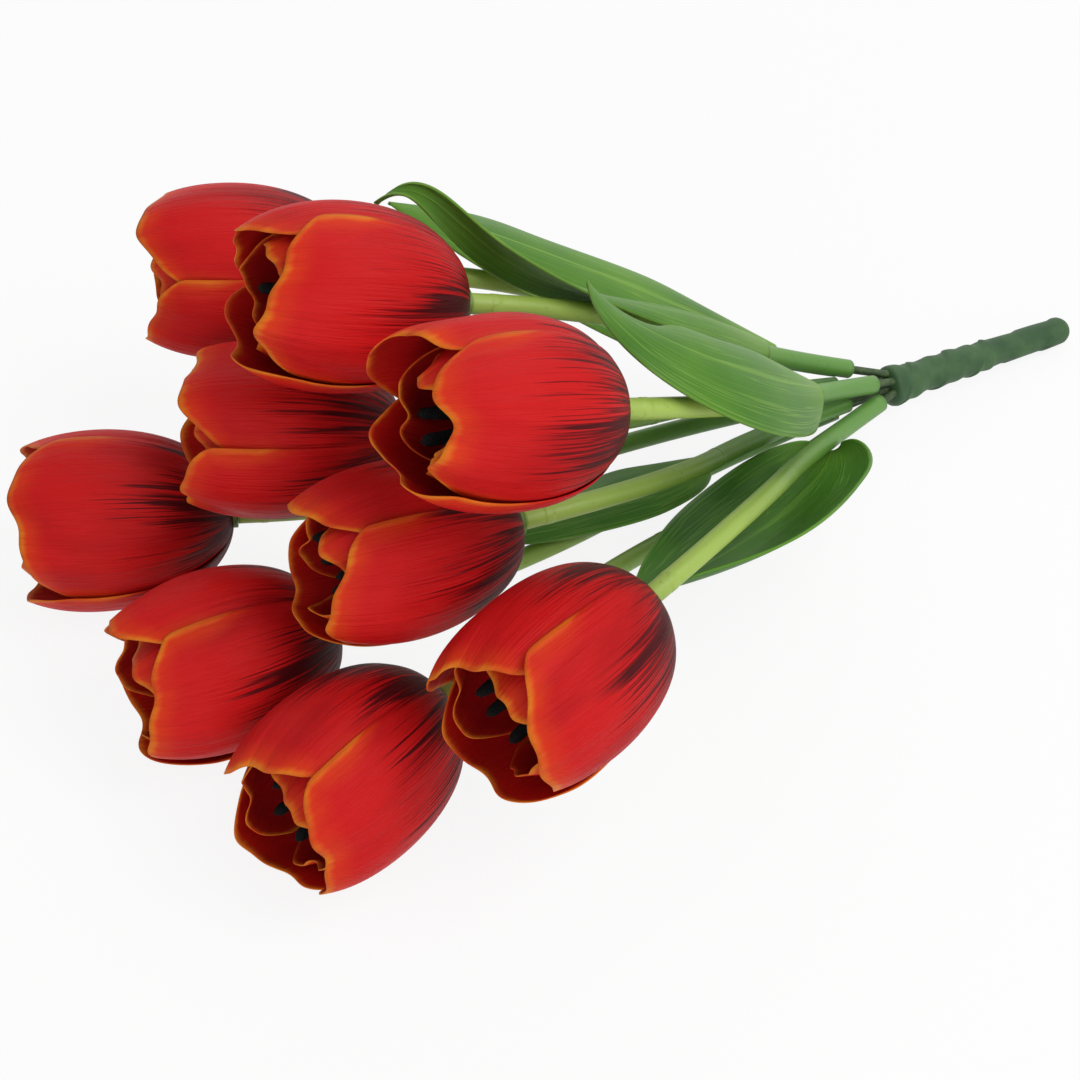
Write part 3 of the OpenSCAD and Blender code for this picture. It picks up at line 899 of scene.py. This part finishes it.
# A row for each leaf: its tulip, start along the sleeve, side of the stem, width, twist, painted
# light level, which darkens leaves that lie in shade as painted shade, and the points that draw its
# middle line, along the stem, away from it and across it
LEAVES = {
    "rear_leaf": (1, 22, 5, 46, 0, 0.7, [
        (0, 0, 0), (32, 4, 2), (66, 5, 5), (101, 9, 8), (132, 17, 6),
    ]),
    "arched_leaf": (2, 40, 0, 16, -140, 0.6, [
        (0, 0, 0), (38, 4, -4), (76, 11, -9), (110, 4, -12), (104, -10, 18), (125, 30, 28),
        (128, 4, 37),
    ]),
    "front_leaf": (3, 40, -35, 32, 0, 0.65, [
        (0, 0, 0), (60, 8, -4), (95, 12, -2), (122, 12, 8), (112, -2, 26), (108, -6, 41),
    ]),
    "low_leaf": (9, 32, -160, 48, 0, 0.25, [
        (0, 0, 0), (20, 6, 4), (62, 12, -6), (104, 8, -9), (122, 0, -10),
    ]),
    "under_leaf": (6, 50, 5, 26, 0, 0.4, [
        (0, 0, 0), (25, 4, 0), (50, 6, 1), (76, 8, 3), (96, 6, 4),
    ]),
}


def leaf_finish(painted_light_level):
    """Green satin cloth whose veins run from the sheath to the tip, darkened as painted shade by
    its light level.
    """
    material, dye = new_material("leaf_cloth")
    across, along = (
        dye.node("Attribute", {"attribute_name": layer}, output="Fac")
        for layer in ("across", "along")
    )

    def lanes(wide, tall, shift):
        place = dye.node("CombineXYZ", {}, {"X": across * wide, "Y": along * tall, "Z": shift})
        return grain(place, 1)

    cloud = grain(own_place(dye), 28, 3)
    vein = lanes(9, 1.2, 3.7)
    fine = lanes(45, 5, 8.1)
    # The dark, light and pale greens all drop with the painted light level. This is painted shade
    # for leaves that lie in shade.
    dark = colour(0.02 + 0.06 * painted_light_level, 0.10 + 0.13 * painted_light_level, 0.006 + 0.014 * painted_light_level)
    light = colour(0.04 + 0.12 * painted_light_level, 0.16 + 0.19 * painted_light_level, 0.010 + 0.025 * painted_light_level)
    pale = colour(0.12 + 0.2 * painted_light_level, 0.32 + 0.2 * painted_light_level, 0.03 + 0.06 * painted_light_level)
    green = tint(rise(cloud, 0.3, 0.75), dark, light)
    green = tint(rise(fine, 0.4, 0.75) * 0.25, green, dark)
    ridge = 1 - rise(abs(vein - 0.5), 0, 0.028)
    green = tint(ridge * 0.4, green, pale)
    midrib = 1 - rise(abs(across), 0.0, 0.05)
    green = tint(midrib * 0.45, green, pale)
    green = tint(rise(abs(across), 0.94, 0.99) * 0.4, green, pale)
    green = tint((1 - rise(along, 0.02, 0.2)) * 0.5, green, pale)
    set_shader(material, {
        "Base Color": green,
        "Roughness": 0.36 + cloud * 0.2,
        "Specular IOR Level": 0.2,
        "Normal": relief(ridge * 0.5 + fine * 0.4 + midrib * 0.6, 0.4, 0.0006),
    })
    return material


draw = random.Random(LEAF_SEED)
for name, (k, start, side, width, twist, painted_light_level, line) in LEAVES.items():
    seat, axis = head_place(k)
    route = stem_route(k)
    route.append(route[-1] + LEAF_BEYOND * MM * axis)
    lengths = path_lengths(route)
    slope = (
        point_at(route, lengths, (start + 0.5) * MM) - point_at(route, lengths, (start - 0.5) * MM)
    ).normalized()
    up = (Vector((0, 0, 1)) - slope.z * slope).normalized()
    out = math.cos(math.radians(side)) * up + math.sin(math.radians(side)) * slope.cross(up)
    spine = []
    for distance, away, aside in line:
        place = point_at(route, lengths, (start + distance) * MM) / MM
        spine.append(place + (SHEATH_R + away) * out + aside * slope.cross(out))
    phase = draw.uniform(0, 6)
    bm = bmesh.new()
    across_layer = bm.verts.layers.float.new("across")
    along_layer = bm.verts.layers.float.new("along")
    bmesh.ops.create_grid(bm, x_segments=LEAF_COLUMNS, y_segments=LEAF_ROWS, size=1)
    for vert in bm.verts:
        across, s = vert.co.x, (vert.co.y + 1) / 2
        vert[across_layer], vert[along_layer] = across, s
        ahead, behind = bezier(spine, min(1, s + 0.001)), bezier(spine, max(0, s - 0.001))
        direction = (ahead - behind).normalized()
        leaf_side = direction.cross(out).normalized()
        leaf_up = leaf_side.cross(direction)
        turn = math.radians(twist * s * s)
        wide = math.cos(turn) * leaf_side + math.sin(turn) * leaf_up
        face = math.cos(turn) * leaf_up - math.sin(turn) * leaf_side
        half_width = (
            SHEATH_R * SHEATH_ANGLE * (1 - s) ** 4
            + width / 2 * max(0, math.sin(math.pi * s ** 0.8)) ** 0.9
            + TIP_HALF_WIDTH * s
        )
        half_angle = LEAF_CUP + (SHEATH_ANGLE - LEAF_CUP) * (1 - s) ** 8
        radius = half_width / half_angle
        angle = half_angle * across
        blade = ramp(s, *BLADE_RUN)
        swing = math.sin(RIPPLE_COUNT * s + phase + 2 * across)
        ripple = RIPPLE * across * across * swing * blade
        groove = -GROOVE_DEPTH * math.exp(-(across / GROOVE_WIDTH) ** 2) * blade * (1 - s)
        reach = radius - LEAF_CLOTH / 2 + ripple + groove
        middle = bezier(spine, s) - radius * face
        vert.co = middle + reach * (math.cos(angle) * face + math.sin(angle) * wide)
    bmesh.ops.scale(bm, vec=(MM, MM, MM), verts=bm.verts)
    bmesh.ops.recalc_face_normals(bm, faces=bm.faces)
    leaf = fit_piece(f"cloth_{name}", bm, name, [name], [leaf_finish(painted_light_level)])
    smooth = leaf.modifiers.new("smooth", "SUBSURF")
    smooth.levels = smooth.render_levels = 1
    cloth = leaf.modifiers.new("cloth", "SOLIDIFY")
    cloth.thickness = LEAF_CLOTH * MM
    cloth.offset = 0
